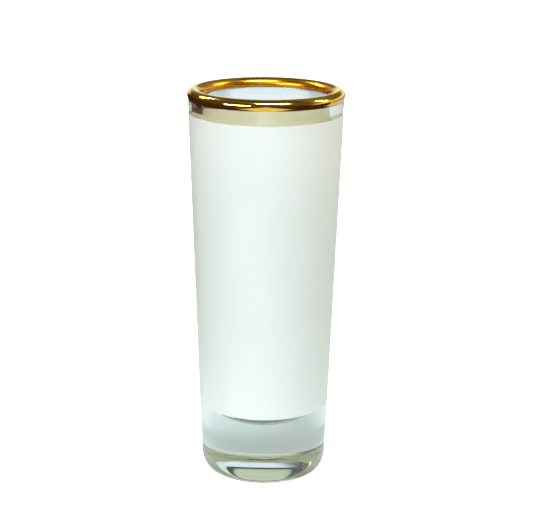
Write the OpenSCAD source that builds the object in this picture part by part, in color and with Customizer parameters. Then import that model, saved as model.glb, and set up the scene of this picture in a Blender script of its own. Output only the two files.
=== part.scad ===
// Tall shooter glass: a pressed clear tumbler with a heavy base and a round-bottomed
// cavity, a white print panel under a clear top coat, and a gold band over the rim.
// Millimetres. The origin is the centre of the resting plane, and +Z is the glass's axis.

/* [Glass] */
// Height from the resting plane to the top of the rim
glass_h = 105; // [90:1:120]
// Outside diameter that the wall's taper reaches at the rim
rim_d = 40.9; // [38:0.1:46]
// Outside diameter that the wall's taper reaches at the resting plane
foot_d = 33.6; // [30:0.1:36]
// Thickness of the wall at the rim, before the rim is rounded
wall_t = 3.3; // [3.3:0.1:5]
// Draft of the inside wall, in degrees
cavity_draft = 3.1; // [2.2:0.1:4]
// Radius that rounds the rim on its outside
lip_out_r = 1.6; // [0.8:0.1:1.6]
// Radius that rounds the rim on its inside
lip_in_r = 1.7; // [1:0.1:1.7]
// Height of the bead that fire polishing leaves on the outside of the rim
bead_out = 0.15; // [0.05:0.01:0.2]
// Height of the bead that fire polishing leaves on the inside of the rim
bead_in = 0.05; // [0.05:0.01:0.08]

/* [Base] */
// Thickness of solid glass from the resting plane to the cavity's lowest point
floor_h = 14.2; // [8:0.1:20]
// Radius of the cavity's shallow bottom, as a multiple of the cavity's own radius there
crown_ratio = 1.39; // [1.2:0.01:2.2]
// Radius that joins the cavity's bottom to its wall, as a share of the cavity's own radius there
knuckle_ratio = 0.74; // [0.3:0.01:0.8]
// Height by which that joining curve stands proud of the bottom and the wall
knuckle_bead = 0.01; // [0.01:0.01:0.03]
// Radius of the heel's slow upper curve
shoulder_r = 8; // [5:0.5:14]
// Turn of the heel's slow upper curve, in degrees
shoulder_turn = 25; // [10:1:35]
// Radius that rounds the heel's corner
heel_r = 2.6; // [1.5:0.1:4]
// Width of the flat ring that the glass rests on
bearing_w = 1.4; // [0.6:0.1:3]
// Height of the hollow under the base at its centre
punt_h = 0.2; // [0.1:0.05:2]

/* [White panel] */
// Height of the panel's lower edge above the resting plane
panel_low = 19.4; // [18:0.1:30]
// Depth of the panel's upper edge below the rim
panel_drop = 6.4; // [4:0.1:20]
// Thickness of the white base coat
base_coat_t = 0.08; // [0.06:0.01:0.15]
// Thickness of the clear top coat
top_coat_t = 0.05; // [0.04:0.01:0.1]

/* [Gold band] */
// Depth of the band below the rim on the outside
gold_out_h = 2.67; // [2.45:0.01:3.5]
// Depth of the band below the rim on the inside
gold_in_h = 2.38; // [2.3:0.01:3.5]
// Thickness of the gold film
gold_t = 0.05; // [0.04:0.01:0.1]

/* [Hidden] */
$fn = 128;

// Outside wall: its draft, its radius at a height, and its unit normal away from the glass
wall_draft = atan((rim_d - foot_d) / 2 / glass_h);
function outer_r(z) = foot_d / 2 + z * tan(wall_draft);
outer_n = [cos(wall_draft), -sin(wall_draft)];

// Inside wall: its radius at a height, and its unit normal away from the glass
function inner_r(z) = rim_d / 2 - wall_t - (glass_h - z) * tan(cavity_draft);
inner_n = [-cos(cavity_draft), sin(cavity_draft)];

// The heel: a slow curve that leaves the outside wall, then a corner down to the resting plane
shoulder_z = shoulder_r * (sin(shoulder_turn) - sin(wall_draft)) + heel_r * (1 - sin(shoulder_turn));
shoulder_c = [outer_r(shoulder_z), shoulder_z] - shoulder_r * outer_n;
heel_c = shoulder_c + (shoulder_r - heel_r) * [cos(shoulder_turn), -sin(shoulder_turn)];

// Centres of the rim's two roundings, each standing proud of its wall by its bead
lip_out_z = glass_h - lip_out_r;
lip_out_c = [outer_r(lip_out_z) - (lip_out_r - bead_out) / cos(wall_draft), lip_out_z];
lip_in_z = glass_h - lip_in_r;
lip_in_c = [inner_r(lip_in_z) + (lip_in_r - bead_in) / cos(cavity_draft), lip_in_z];

// Round bottom of the cavity. The knuckle's centre lies on a line parallel to the inside wall,
// where its distance from the crown's centre is the difference of their two radii and the bead.
crown_r = crown_ratio * inner_r(floor_h);
knuckle_r = knuckle_ratio * inner_r(floor_h);
crown_c = [0, floor_h + crown_r];
knuckle_lean = tan(cavity_draft);
knuckle_foot = inner_r(0) - (knuckle_r - knuckle_bead) / cos(cavity_draft);
knuckle_a = 1 + knuckle_lean ^ 2;
knuckle_b = crown_c[1] - knuckle_foot * knuckle_lean;
knuckle_q = knuckle_foot ^ 2 + crown_c[1] ^ 2 - (crown_r - knuckle_r + knuckle_bead) ^ 2;
knuckle_z = (knuckle_b - sqrt(knuckle_b ^ 2 - knuckle_a * knuckle_q)) / knuckle_a;
knuckle_c = [knuckle_foot + knuckle_lean * knuckle_z, knuckle_z];
crown_turn = atan2(knuckle_c[1] - crown_c[1], knuckle_c[0]);
knuckle_low = knuckle_z - knuckle_r / 4;

// Hollow under the base: a shallow spherical cap inside the bearing ring
punt_edge = heel_c[0] - bearing_w;
punt_r = (punt_edge ^ 2 + punt_h ^ 2) / (2 * punt_h);

// Edges of the panel and of the gold band
panel_high = glass_h - panel_drop;
gold_out_z = glass_h - gold_out_h;
gold_in_z = glass_h - gold_in_h;

// The half of a disc on one side of the height through its centre: 1 outer, -1 inner
module side_disc(centre, r, side) {
    translate(centre) intersection() {
        circle(r);
        translate([side * r, 0]) square(2 * r, center = true);
    }
}

// The slice of a disc between two angles that are under 120 degrees apart
module sector(centre, r, from, to) {
    reach = 2 * r;
    translate(centre) intersection() {
        circle(r);
        polygon([[0, 0], reach * [cos(from), sin(from)], reach * [cos(to), sin(to)]]);
    }
}

// The blank from the axis outwards, before its hollows are taken out
module blank_section() {
    polygon([
        [0, 0],
        [heel_c[0], 0],
        heel_c,
        shoulder_c,
        shoulder_c + shoulder_r * outer_n,
        lip_out_c + (lip_out_r - bead_out) * outer_n,
        lip_out_c,
        [lip_out_c[0], glass_h],
        [0, glass_h],
    ]);
    sector(heel_c, heel_r, -90, -shoulder_turn);
    sector(shoulder_c, shoulder_r, -shoulder_turn, -wall_draft);
    side_disc(lip_out_c, lip_out_r, 1);
}

// The space inside the glass, with its round bottom and its rounded mouth
module cavity_section() {
    sector(crown_c, crown_r, -90, crown_turn);
    sector(knuckle_c, knuckle_r, crown_turn - 10, 10 - cavity_draft);
    difference() {
        polygon([
            [0, knuckle_low],
            [knuckle_c[0], knuckle_low],
            knuckle_c - (knuckle_r - knuckle_bead) * inner_n,
            lip_in_c + (lip_in_r - bead_in) * inner_n,
            lip_in_c,
            [lip_in_c[0], glass_h + 1],
            [0, glass_h + 1],
        ]);
        side_disc(lip_in_c, lip_in_r, -1);
    }
}

module glass_section() {
    difference() {
        blank_section();
        cavity_section();
        side_disc([0, punt_h - punt_r], punt_r, 1);
    }
}

// A coat on the outside wall between the panel's edges, from one depth to another
module coat_section(t_in, t_out) {
    polygon([
        [outer_r(panel_low) + t_in / outer_n[0], panel_low],
        [outer_r(panel_low) + t_out / outer_n[0], panel_low],
        [outer_r(panel_high) + t_out / outer_n[0], panel_high],
        [outer_r(panel_high) + t_in / outer_n[0], panel_high],
    ]);
}

// The rim grown by the film's thickness, above the height of the band's edge on each side
module gold_section() {
    difference() {
        union() {
            polygon([
                [outer_r(gold_out_z) + gold_t / outer_n[0], gold_out_z],
                lip_out_c + (lip_out_r - bead_out + gold_t) * outer_n,
                lip_out_c,
                [lip_out_c[0], glass_h + gold_t],
                [lip_in_c[0], glass_h + gold_t],
                lip_in_c,
                lip_in_c + (lip_in_r - bead_in + gold_t) * inner_n,
                [inner_r(gold_in_z) + gold_t / inner_n[0], gold_in_z],
                [lip_in_c[0], gold_in_z],
                [lip_in_c[0], gold_out_z],
            ]);
            side_disc(lip_out_c, lip_out_r + gold_t, 1);
            intersection() {
                side_disc(lip_in_c, lip_in_r + gold_t, -1);
                translate([0, gold_in_z]) square(rim_d);
            }
        }
        glass_section();
    }
}

module glass_body() {
    color([0.80, 0.88, 0.86, 0.45]) rotate_extrude() glass_section();
}

module white_base_coat() {
    color([0.95, 0.97, 0.95]) rotate_extrude() coat_section(0, base_coat_t);
}

module clear_top_coat() {
    color([0.93, 0.97, 0.96, 0.5])
        rotate_extrude() coat_section(base_coat_t, base_coat_t + top_coat_t);
}

module gold_rim() {
    color([0.78, 0.58, 0.26]) rotate_extrude() gold_section();
}

glass_body();
white_base_coat();
clear_top_coat();
gold_rim();
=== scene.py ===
"""Tall shooter glass with a white print panel and a gold rim, on a pale studio floor."""

import math

import bpy
from mathutils import Matrix, Vector


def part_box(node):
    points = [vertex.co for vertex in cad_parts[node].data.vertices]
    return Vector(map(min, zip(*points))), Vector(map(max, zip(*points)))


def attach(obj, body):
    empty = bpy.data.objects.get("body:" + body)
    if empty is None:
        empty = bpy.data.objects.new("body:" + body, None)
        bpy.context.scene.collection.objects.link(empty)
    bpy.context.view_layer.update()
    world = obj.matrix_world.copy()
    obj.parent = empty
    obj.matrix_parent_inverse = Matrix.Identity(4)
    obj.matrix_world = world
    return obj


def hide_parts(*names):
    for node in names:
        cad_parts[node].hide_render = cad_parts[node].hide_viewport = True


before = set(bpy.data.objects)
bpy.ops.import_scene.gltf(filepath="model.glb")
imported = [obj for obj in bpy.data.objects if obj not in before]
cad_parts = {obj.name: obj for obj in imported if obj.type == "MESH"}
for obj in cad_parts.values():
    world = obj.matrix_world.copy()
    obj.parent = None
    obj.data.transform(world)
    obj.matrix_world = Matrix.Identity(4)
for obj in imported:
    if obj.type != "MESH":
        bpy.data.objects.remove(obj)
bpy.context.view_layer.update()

MM = 0.001
QUARTER = math.pi / 2

# Heights that the CAD nodes' boxes give
GLASS_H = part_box("glass_body")[1][2]
PANEL_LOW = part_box("white_base_coat")[0][2]
PANEL_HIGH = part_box("white_base_coat")[1][2]
GOLD_OUT_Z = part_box("gold_rim")[0][2]

# Driving sizes of the glass, as the CAD part has them
RIM_R = 20.45 * MM
FOOT_R = 16.8 * MM
WALL_T = 3.3 * MM
CAVITY_DRAFT = math.radians(3.1)
LIP_OUT_R = 1.6 * MM
LIP_IN_R = 1.7 * MM
BEAD_OUT = 0.15 * MM
BEAD_IN = 0.05 * MM
FLOOR_H = 14.2 * MM
CROWN_RATIO = 1.39
KNUCKLE_RATIO = 0.74
SHOULDER_R = 8 * MM
SHOULDER_TURN = math.radians(25)
HEEL_R = 2.6 * MM
BEARING_W = 1.4 * MM
PUNT_H = 0.2 * MM
GOLD_IN_Z = GLASS_H - 2.38 * MM
BASE_COAT_T = 0.08 * MM
TOP_COAT_T = 0.05 * MM
GOLD_T = 0.05 * MM

# Faces round the axis
SEGMENTS = 256
# Depth to which a film reaches into the piece under it, so that no gap shows between them
SINK = 0.01 * MM
# A point of a profile that is nearer to the axis than this is a pole
ON_AXIS = 1e-9
# Faces that meet at more than this angle keep a sharp edge
SHARP_CORNER = math.radians(40)

WALL_DRAFT = math.atan((RIM_R - FOOT_R) / GLASS_H)
OUT_N = Vector((math.cos(WALL_DRAFT), -math.sin(WALL_DRAFT)))
IN_N = Vector((-math.cos(CAVITY_DRAFT), math.sin(CAVITY_DRAFT)))


def outer_r(z):
    """Radius of the outside wall at a height."""
    return FOOT_R + z * math.tan(WALL_DRAFT)


def inner_r(z):
    """Radius of the inside wall at a height."""
    return RIM_R - WALL_T - (GLASS_H - z) * math.tan(CAVITY_DRAFT)


def arc(centre, r, start, end, steps):
    """Points of an arc in the (r, z) half-plane, with angles from +r towards +z."""
    return [
        Vector((centre[0] + r * math.cos(a), centre[1] + r * math.sin(a)))
        for a in (start + (end - start) * i / steps for i in range(steps + 1))
    ]


def line(a, b, steps):
    """Points of a straight line from a to b."""
    return [Vector(a).lerp(Vector(b), i / steps) for i in range(steps + 1)]


# The heel: a slow curve that leaves the outside wall, then a corner down to the resting plane
SHOULDER_Z = (SHOULDER_R * (math.sin(SHOULDER_TURN) - math.sin(WALL_DRAFT))
              + HEEL_R * (1 - math.sin(SHOULDER_TURN)))
SHOULDER_C = Vector((outer_r(SHOULDER_Z), SHOULDER_Z)) - SHOULDER_R * OUT_N
HEEL_C = (SHOULDER_C + (SHOULDER_R - HEEL_R)
          * Vector((math.cos(SHOULDER_TURN), -math.sin(SHOULDER_TURN))))

# Centres of the rim's two roundings, each standing proud of its wall by its bead
LIP_OUT_Z = GLASS_H - LIP_OUT_R
LIP_OUT_C = Vector((outer_r(LIP_OUT_Z) - (LIP_OUT_R - BEAD_OUT) / math.cos(WALL_DRAFT), LIP_OUT_Z))
LIP_IN_Z = GLASS_H - LIP_IN_R
LIP_IN_C = Vector((inner_r(LIP_IN_Z) + (LIP_IN_R - BEAD_IN) / math.cos(CAVITY_DRAFT), LIP_IN_Z))

# The cavity's shallow bottom, and the curve that joins it to the inside wall
CROWN_R = CROWN_RATIO * inner_r(FLOOR_H)
CROWN_C = Vector((0, FLOOR_H + CROWN_R))
KNUCKLE_R = KNUCKLE_RATIO * inner_r(FLOOR_H)

# Hollow under the base: a shallow spherical cap inside the bearing ring
PUNT_EDGE = HEEL_C[0] - BEARING_W
PUNT_R = (PUNT_EDGE ** 2 + PUNT_H ** 2) / (2 * PUNT_H)


def knuckle_centre():
    """Centre of the arc that joins the cavity's bottom to its wall, tangent to both."""
    slope = math.tan(CAVITY_DRAFT)
    start = inner_r(0) - KNUCKLE_R / math.cos(CAVITY_DRAFT)
    square = 1 + slope ** 2
    half = CROWN_C[1] - start * slope
    rest = start ** 2 + CROWN_C[1] ** 2 - (CROWN_R - KNUCKLE_R) ** 2
    z = (half - math.sqrt(half ** 2 - square * rest)) / square
    return Vector((start + slope * z, z))


def lip_arcs(grow):
    """The rim's two roundings, grown outwards, from the outside wall to the inside wall."""
    below_out = math.acos((LIP_OUT_R - BEAD_OUT + grow) / (LIP_OUT_R + grow))
    below_in = math.acos((LIP_IN_R - BEAD_IN + grow) / (LIP_IN_R + grow))
    outer = arc(LIP_OUT_C, LIP_OUT_R + grow, -WALL_DRAFT - below_out, QUARTER, steps=24)
    inner = arc(LIP_IN_C, LIP_IN_R + grow, QUARTER, math.pi - CAVITY_DRAFT + below_in, steps=26)
    return outer + inner


def glass_profile():
    """Outline of the glass from the middle of its underside, over the rim, to the cavity's floor."""
    punt_angle = math.asin(PUNT_EDGE / PUNT_R)
    knuckle_c = knuckle_centre()
    crown_end = math.atan2(knuckle_c[1] - CROWN_C[1], knuckle_c[0])
    rim = lip_arcs(0)
    points = arc((0, PUNT_H - PUNT_R), PUNT_R, QUARTER, QUARTER - punt_angle, steps=30)
    points += line((PUNT_EDGE, 0), (HEEL_C[0], 0), steps=6)[1:]
    points += arc(HEEL_C, HEEL_R, -QUARTER, -SHOULDER_TURN, steps=22)[1:]
    points += arc(SHOULDER_C, SHOULDER_R, -SHOULDER_TURN, -WALL_DRAFT, steps=14)[1:]
    points += line(points[-1], rim[0], steps=110)[1:]
    points += rim[1:]
    points += line(rim[-1], knuckle_c - KNUCKLE_R * IN_N, steps=80)[1:]
    points += arc(knuckle_c, KNUCKLE_R, -CAVITY_DRAFT, crown_end, steps=24)[1:]
    points += arc(CROWN_C, CROWN_R, crown_end, -QUARTER, steps=30)[1:]
    return points


def coat_profile(t_in, t_out):
    """Closed outline of a coat on the outside wall, from one depth to another."""
    def wall(z, t):
        return (outer_r(z) + t / math.cos(WALL_DRAFT), z)
    outer = line(wall(PANEL_LOW, t_out), wall(PANEL_HIGH, t_out), steps=86)
    inner = line(wall(PANEL_HIGH, t_in), wall(PANEL_LOW, t_in), steps=86)
    return outer + inner


def gold_profile():
    """Closed outline of the gold film: over the rim on its outside, and back along its inside."""
    outline = []
    for t in (GOLD_T, -SINK):
        side = [Vector((outer_r(GOLD_OUT_Z) + t / math.cos(WALL_DRAFT), GOLD_OUT_Z))]
        side += lip_arcs(t)
        side.append(Vector((inner_r(GOLD_IN_Z) - t / math.cos(CAVITY_DRAFT), GOLD_IN_Z)))
        outline += side if t > 0 else reversed(side)
    return outline


def lathe(name, profile, closed):
    """A solid of revolution about Z. An open profile starts and ends on the axis."""
    verts, faces = [], []
    ring_start = []
    for p in profile:
        ring_start.append(len(verts))
        if p[0] < ON_AXIS:
            verts.append((0, 0, p[1]))
            continue
        for s in range(SEGMENTS):
            a = 2 * math.pi * s / SEGMENTS
            verts.append((p[0] * math.cos(a), p[0] * math.sin(a), p[1]))
    pairs = list(zip(range(len(profile)), range(1, len(profile))))
    if closed:
        pairs.append((len(profile) - 1, 0))
    for i, j in pairs:
        a, b = ring_start[i], ring_start[j]
        for s in range(SEGMENTS):
            t = (s + 1) % SEGMENTS
            if profile[i][0] < ON_AXIS:
                faces.append((a, b + t, b + s))
            elif profile[j][0] < ON_AXIS:
                faces.append((a + s, a + t, b))
            else:
                faces.append((a + s, a + t, b + t, b + s))
    mesh = bpy.data.meshes.new(name)
    mesh.from_pydata(verts, [], faces)
    mesh.update()
    mesh.shade_smooth()
    mesh.set_sharp_from_angle(angle=SHARP_CORNER)
    obj = bpy.data.objects.new(name, mesh)
    bpy.context.scene.collection.objects.link(obj)
    return obj


class Nodes:
    """A node tree, with a short method for each kind of node that this scene uses."""

    def __init__(self, tree, coordinates):
        self.nodes, self.links = tree.nodes, tree.links
        self.place = self.add("ShaderNodeTexCoord", {}, coordinates)

    def feed(self, socket, value):
        """Fill a socket with a number or a colour, or link it to another node's output."""
        if isinstance(value, bpy.types.NodeSocket):
            self.links.new(value, socket)
        elif socket.type == "RGBA":
            socket.default_value = (*value, 1)
        else:
            socket.default_value = value

    def add(self, kind, inputs, output=0, **settings):
        """Make a node, fill its settings and inputs, and give back one of its outputs."""
        node = self.nodes.new(kind)
        for key, value in settings.items():
            setattr(node, key, value)
        for key, value in inputs.items():
            self.feed(node.inputs[key], value)
        return node.outputs[output]

    def axes(self):
        """The coordinates' X, Y and Z."""
        split = self.nodes.new("ShaderNodeSeparateXYZ")
        self.links.new(self.place, split.inputs[0])
        return split.outputs["X"], split.outputs["Y"], split.outputs["Z"]

    def math(self, operation, a, b=0, **settings):
        return self.add("ShaderNodeMath", {0: a, 1: b}, operation=operation, **settings)

    def from_axis(self, x, y):
        """Distance from the glass's axis."""
        return self.math("SQRT", self.math("ADD", self.math("POWER", x, 2), self.math("POWER", y, 2)))

    def noise(self, scale, detail=3, vector=None):
        """Noise with about scale features to a metre, or to a unit of vector."""
        inputs = {"Scale": scale, "Detail": detail, "Vector": vector or self.place}
        return self.add("ShaderNodeTexNoise", inputs)

    def remap(self, value, low, high, to_low=0, to_high=1):
        """A value mapped smoothly from one range to another, and held at its ends."""
        inputs = {"Value": value, "From Min": low, "From Max": high, "To Min": to_low, "To Max": to_high}
        return self.add("ShaderNodeMapRange", inputs, interpolation_type="SMOOTHSTEP")

    def mix(self, factor, a, b, data_type="RGBA"):
        inputs = {"Factor": factor, "A": a, "B": b}
        return self.add("ShaderNodeMix", inputs, "Result", data_type=data_type)

    def ramp(self, value, stops):
        """A colour that runs through (position, colour) stops."""
        node = self.nodes.new("ShaderNodeValToRGB")
        self.links.new(value, node.inputs["Fac"])
        elements = node.color_ramp.elements
        while len(elements) < len(stops):
            elements.new(1.0)
        for element, (position, colour) in zip(elements, stops):
            element.position = position
            element.color = (*colour, 1)
        return node.outputs["Color"]

    def glow(self, colour, strength):
        return self.add("ShaderNodeEmission", {"Color": colour, "Strength": strength})

    def sky(self, colour, strength=1):
        return self.add("ShaderNodeBackground", {"Color": colour, "Strength": strength})

    def both(self, first, second):
        return self.add("ShaderNodeAddShader", {0: first, 1: second})

    def ray_is(self, kind):
        return self.add("ShaderNodeLightPath", {}, f"Is {kind} Ray")

    def seen_or_not(self, seen, unseen):
        """One shader for what the camera sees directly, and another for every other ray."""
        return self.add("ShaderNodeMixShader", {"Fac": self.ray_is("Camera"), 1: unseen, 2: seen})


class Material(Nodes):
    """A Principled material whose detail nodes all read the piece's own coordinates."""

    def __init__(self, name):
        self.mat = bpy.data.materials.new(name)
        self.mat.use_nodes = True
        super().__init__(self.mat.node_tree, "Object")
        self.shader = self.nodes["Principled BSDF"]
        self.output = self.nodes["Material Output"]

    def set(self, key, value):
        self.feed(self.shader.inputs[key], value)

    def bump(self, *layers):
        """Layers of (height, distance in metres), each on top of the one before."""
        normal = None
        for height, distance in layers:
            inputs = {"Strength": 1, "Distance": distance, "Height": height}
            if normal:
                inputs["Normal"] = normal
            normal = self.add("ShaderNodeBump", inputs)
        self.set("Normal", normal)


def glass_material():
    """Pressed soda-lime glass: grey-green in the thick base, with slow waves from the mould."""
    m = Material("clear_glass")
    m.set("Transmission Weight", 1)
    m.set("IOR", 1.52)
    m.set("Base Color", m.mix(m.noise(90), (0.985, 0.995, 0.99), (1.0, 1.0, 1.0)))
    m.set("Roughness", m.remap(m.noise(700, 4), 0.55, 0.8, 0, 0.05))
    flattened = m.add("ShaderNodeMapping", {"Vector": m.place, "Scale": (1, 1, 0.8)})
    waves = m.noise(70, 1, flattened)
    ripple = m.noise(420, 2)
    m.bump((waves, 0.12 * MM), (ripple, 0.004 * MM))
    body = m.add("ShaderNodeVolumeAbsorption", {"Color": (0.9, 0.965, 0.955), "Density": 18})
    m.links.new(body, m.output.inputs["Volume"])
    return m.mat


def white_material():
    """Sprayed white polyester: cool white outside, and creamy where it is seen through the glass; that
    creamy tone is partly the coat's own colour and partly painted warm light.
    """
    m = Material("white_coat")
    x, y, height = m.axes()
    cool = m.mix(m.noise(60, 2), (0.77, 0.84, 0.805), (0.81, 0.875, 0.845))
    # Inner face: partly the coat's own creamy colour, partly painted warm light standing in for the
    # gold-tinted light inside the glass.
    cream_and_painted_warm_light = m.mix(m.noise(45, 2), (1.0, 0.88, 0.54), (1.0, 0.91, 0.62))
    taper = m.math("MULTIPLY", height, math.tan(WALL_DRAFT))
    depth = m.math("SUBTRACT", m.from_axis(x, y), taper)
    outer_face = m.remap(depth, FOOT_R, FOOT_R + BASE_COAT_T / 2)
    m.set("Base Color", m.mix(outer_face, cream_and_painted_warm_light, cool))
    m.set("Roughness", m.remap(m.noise(900, 4), 0.35, 0.7, 0.42, 0.48))
    m.set("Subsurface Weight", 0.85)
    m.set("Subsurface Scale", 0.5 * MM)
    m.set("Subsurface Radius", (1, 1, 0.9))
    grain = m.noise(1500)
    m.bump((grain, 0.0004 * MM))
    return m.mat


def clear_material():
    """The lacquer that takes the print: clear and satin, with a fine orange peel."""
    m = Material("clear_coat")
    m.set("IOR", 1.5)
    m.set("Alpha", 0.2)
    m.set("Base Color", m.mix(m.noise(80, 2), (0.93, 0.96, 0.93), (0.97, 0.99, 0.97)))
    m.set("Roughness", m.remap(m.noise(1100, 4), 0.35, 0.7, 0.25, 0.33))
    peel = m.noise(1700, 2)
    flow = m.noise(160, 1)
    m.bump((peel, 0.0012 * MM), (flow, 0.01 * MM))
    return m.mat


def gold_material():
    """Fired gold, laid on with a wheel: fine streaks along the rim, and softer inside, where a darker
    amber colour is painted shade that dims its reflections.
    """
    inner_side = (17.6 * MM, 18.4 * MM)  # radii between which the inner side gives way to the top
    across, along = 900, 0.6  # streaks are fine across the rim, and long round it
    m = Material("gold_film")
    x, y, height = m.axes()
    radius = m.from_axis(x, y)
    rolled = m.add("ShaderNodeCombineXYZ", {
        "X": m.math("MULTIPLY", m.math("ARCTAN2", y, x), along),
        "Y": m.math("MULTIPLY", height, across),
        "Z": m.math("MULTIPLY", radius, across),
    })
    streaks = m.noise(2.2, 4, rolled)
    patches = m.remap(m.noise(230), 0.35, 0.7)
    outside = m.mix(patches, (0.93, 0.54, 0.10), (0.85, 0.43, 0.06))
    # The inside is the same gold painted darker and more amber: painted shade that dims the reflections
    # and highlights on the inner side.
    inside = m.mix(patches, (0.71, 0.35, 0.03), (0.62, 0.26, 0.015))
    softness = m.remap(radius, *inner_side, 0.16, 0)
    m.set("Metallic", 1)
    m.set("Base Color", m.mix(m.remap(radius, *inner_side), inside, outside))
    m.set("Roughness", m.math("ADD", softness, m.remap(streaks, 0.35, 0.65, 0.05, 0.2)))
    dents = m.noise(300, 2)
    m.bump((streaks, 0.006 * MM), (dents, 0.05 * MM))
    return m.mat


def add_piece(obj, node, material):
    """Put a finished piece in place of its CAD node."""
    obj.data.materials.append(material)
    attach(obj, "root")
    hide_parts(node)


glass = lathe("tumbler", glass_profile(), False)
add_piece(glass, "glass_body", glass_material())
white = lathe("print_panel", coat_profile(-SINK, BASE_COAT_T), True)
add_piece(white, "white_base_coat", white_material())
clear = lathe("panel_top_coat", coat_profile(BASE_COAT_T - SINK / 2, BASE_COAT_T + TOP_COAT_T), True)
add_piece(clear, "clear_top_coat", clear_material())
gold = lathe("rim_band", gold_profile(), True)
add_piece(gold, "gold_rim", gold_material())


# The studio. The camera sees a white floor and a white background. Every other ray, such as one
# through the glass or off the gold, meets a sheet of pale paper, a lit backdrop and a dark room.
PAPER = (0.515, 0.595, 0.65)
PAPER_EDGE = (0.06, 0.09)  # distances to the side over which the paper gives way to the dark floor
PAPER_SPREAD_LEFT = 0.1  # how much wider the paper gets with each metre behind the glass
PAPER_SPREAD_RIGHT = 3
DARK_FLOOR = (0.035, 0.015, 0.006)
ROOM = (0.045, 0.026, 0.015)
FLOOR_HALF = 6.0
FLOOR_DROP = 0.02 * MM

# The backdrop by height: sine of the elevation and colour, from the floor up
BACKDROP = (
    (0.0, (0.50, 0.55, 0.39)),
    (0.425, (0.52, 0.57, 0.40)),
    (0.438, (0.03, 0.03, 0.02)),
    (0.468, (0.03, 0.03, 0.02)),
    (0.482, (0.74, 0.84, 0.90)),
    (0.86, (0.74, 0.84, 0.90)),
    (0.95, (0.06, 0.038, 0.025)),
)
BACKDROP_AZIMUTH = 140
BACKDROP_EDGE = (0.25, 0.55)  # cosines of the angle from its middle, over which the backdrop begins

# True reflections meet the same room with its low part brighter and the rest dimmer. CEILING
# lifts that rest evenly.
LOW_PART_TOP = (0.16, 0.24)  # sines of the elevation over which the low part ends
LOW_PART_GAIN = 2.2
HIGH_PART_GAIN = 0.15
CEILING = (0.07, 0.065, 0.04)


def direction(azimuth, elevation):
    """Unit vector; azimuth 0 is towards the camera's side, 90 to its right, 180 behind."""
    a, e = math.radians(azimuth), math.radians(elevation)
    return Vector((math.sin(a) * math.cos(e), -math.cos(a) * math.cos(e), math.sin(e)))


def floor_material():
    """White to the camera. Other rays meet the paper, which has a painted glow that is strongest
    straight behind the glass.
    """
    m = Material("pale_floor")
    m.nodes.remove(m.shader)
    x, y = m.axes()[:2]
    behind = m.math("MAXIMUM", m.math("SUBTRACT", y, 0.01), 0)
    right = m.math("SUBTRACT", x, m.math("MULTIPLY", behind, PAPER_SPREAD_RIGHT))
    left = m.math("SUBTRACT", m.math("MULTIPLY", x, -1), m.math("MULTIPLY", behind, PAPER_SPREAD_LEFT))
    tone = m.mix(m.remap(m.math("MAXIMUM", left, right), *PAPER_EDGE), PAPER, DARK_FLOOR)
    # Painted light: the paper glows most straight behind the glass, and more with the distance behind
    # it.
    straight = m.remap(m.math("ABSOLUTE", x), 0.04, 0.07, 1, 0.2)
    painted_glow = m.math("MULTIPLY", straight, m.remap(y, 0.05, 0.25, 0.04, 0.6))
    paper = m.both(m.add("ShaderNodeBsdfDiffuse", {"Color": tone}), m.glow(tone, painted_glow))
    white = m.both(m.add("ShaderNodeBsdfDiffuse", {"Color": (0.95, 0.95, 0.95)}), m.glow((1, 1, 1), 0.9))
    m.links.new(m.seen_or_not(white, paper), m.output.inputs["Surface"])
    return m.mat


def add_floor():
    """A square floor just under the glass."""
    mesh = bpy.data.meshes.new("floor")
    corners = [(x * FLOOR_HALF, y * FLOOR_HALF, 0) for x, y in ((-1, -1), (1, -1), (1, 1), (-1, 1))]
    mesh.from_pydata(corners, [], [(0, 1, 2, 3)])
    mesh.materials.append(floor_material())
    floor = bpy.data.objects.new("floor", mesh)
    floor.location.z = -FLOOR_DROP
    bpy.context.scene.collection.objects.link(floor)


def add_world():
    """A dark room with a lit backdrop behind the glass. The camera itself sees white."""
    world = bpy.data.worlds.new("studio")
    bpy.context.scene.world = world
    world.use_nodes = True
    world.node_tree.nodes.clear()
    w = Nodes(world.node_tree, "Generated")
    height = w.axes()[2]
    facing = w.add("ShaderNodeVectorMath", {0: w.place, 1: direction(BACKDROP_AZIMUTH, 0)}, "Value",
                   operation="DOT_PRODUCT")
    walls = w.mix(w.remap(facing, *BACKDROP_EDGE), ROOM, w.ramp(height, BACKDROP))
    reflected = w.math("SUBTRACT", w.ray_is("Glossy"), w.ray_is("Transmission"), use_clamp=True)
    gain = w.remap(height, *LOW_PART_TOP, LOW_PART_GAIN, HIGH_PART_GAIN)
    room = w.sky(walls, w.mix(reflected, 1, gain, "FLOAT"))
    ceiling = w.sky(CEILING, w.math("MULTIPLY", w.remap(height, *LOW_PART_TOP), reflected))
    shown = w.seen_or_not(w.sky((1, 1, 1)), w.both(room, ceiling))
    w.links.new(shown, w.nodes.new("ShaderNodeOutputWorld").inputs["Surface"])


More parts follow.
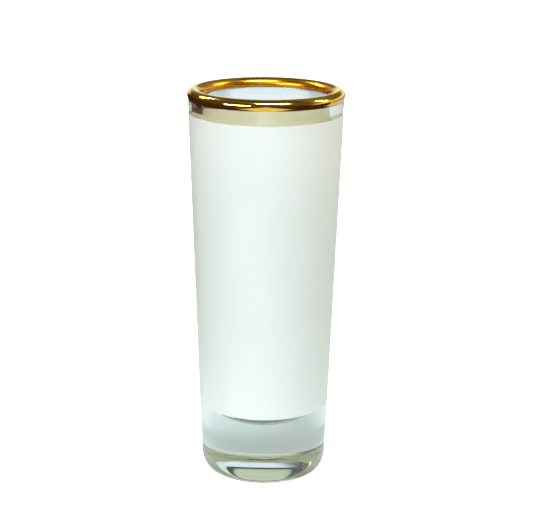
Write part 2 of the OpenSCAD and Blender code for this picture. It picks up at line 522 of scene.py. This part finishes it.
def add_softbox(name, azimuth, elevation, distance, size, power, colour, only=None):
    """A rectangular softbox that faces the middle of the glass.

    With only, it lights just that piece, and no reflected or refracted ray meets it.
    """
    data = bpy.data.lights.new(name, "AREA")
    data.shape = "RECTANGLE"
    data.size, data.size_y = size
    data.energy = power
    data.color = colour
    light = bpy.data.objects.new(name, data)
    out = direction(azimuth, elevation)
    light.location = Vector((0, 0, GLASS_H / 2)) + out * distance
    light.rotation_euler = out.to_track_quat("Z", "Y").to_euler()
    if only:
        lit = bpy.data.collections.new("lit_by_" + name)
        lit.objects.link(only)
        light.light_linking.receiver_collection = lit
        light.visible_glossy = False
        light.visible_transmission = False
    bpy.context.scene.collection.objects.link(light)


def add_camera():
    """A long lens a little above the rim, which looks down at the glass with a slight roll."""
    data = bpy.data.cameras.new("camera")
    data.lens = 96.72
    data.sensor_width = 36
    data.clip_start, data.clip_end = 0.01, 50
    camera = bpy.data.objects.new("camera", data)
    bpy.context.scene.collection.objects.link(camera)
    pitch, roll = 0.2776, 0.0102  # radians
    turn = Matrix.Rotation(QUARTER - pitch, 4, "X") @ Matrix.Rotation(roll, 4, "Z")
    place = (2.74 * MM, -382.44 * MM, 166.01 * MM)
    camera.matrix_world = Matrix.Translation(place) @ turn
    bpy.context.scene.camera = camera


add_camera()
add_floor()
add_world()
add_softbox("key", azimuth=13, elevation=55, distance=1.0, size=(0.6, 0.12), power=12,
            colour=(0.95, 1.0, 0.98))
add_softbox("low_left", azimuth=-42, elevation=12, distance=1.1, size=(0.8, 0.12), power=7.6,
            colour=(0.96, 1.0, 0.98))
add_softbox("strip_right", azimuth=100, elevation=35, distance=1.0, size=(0.12, 0.4), power=3.5,
            colour=(1.0, 0.87, 0.64))
add_softbox("strip_left", azimuth=-122, elevation=38, distance=1.0, size=(0.07, 0.35), power=4.8,
            colour=(1.0, 0.92, 0.75))
add_softbox("back_wash", azimuth=180, elevation=20, distance=1.1, size=(0.8, 0.3), power=9,
            colour=(1.0, 0.98, 0.88), only=white)
bpy.context.scene.view_settings.view_transform = "Standard"
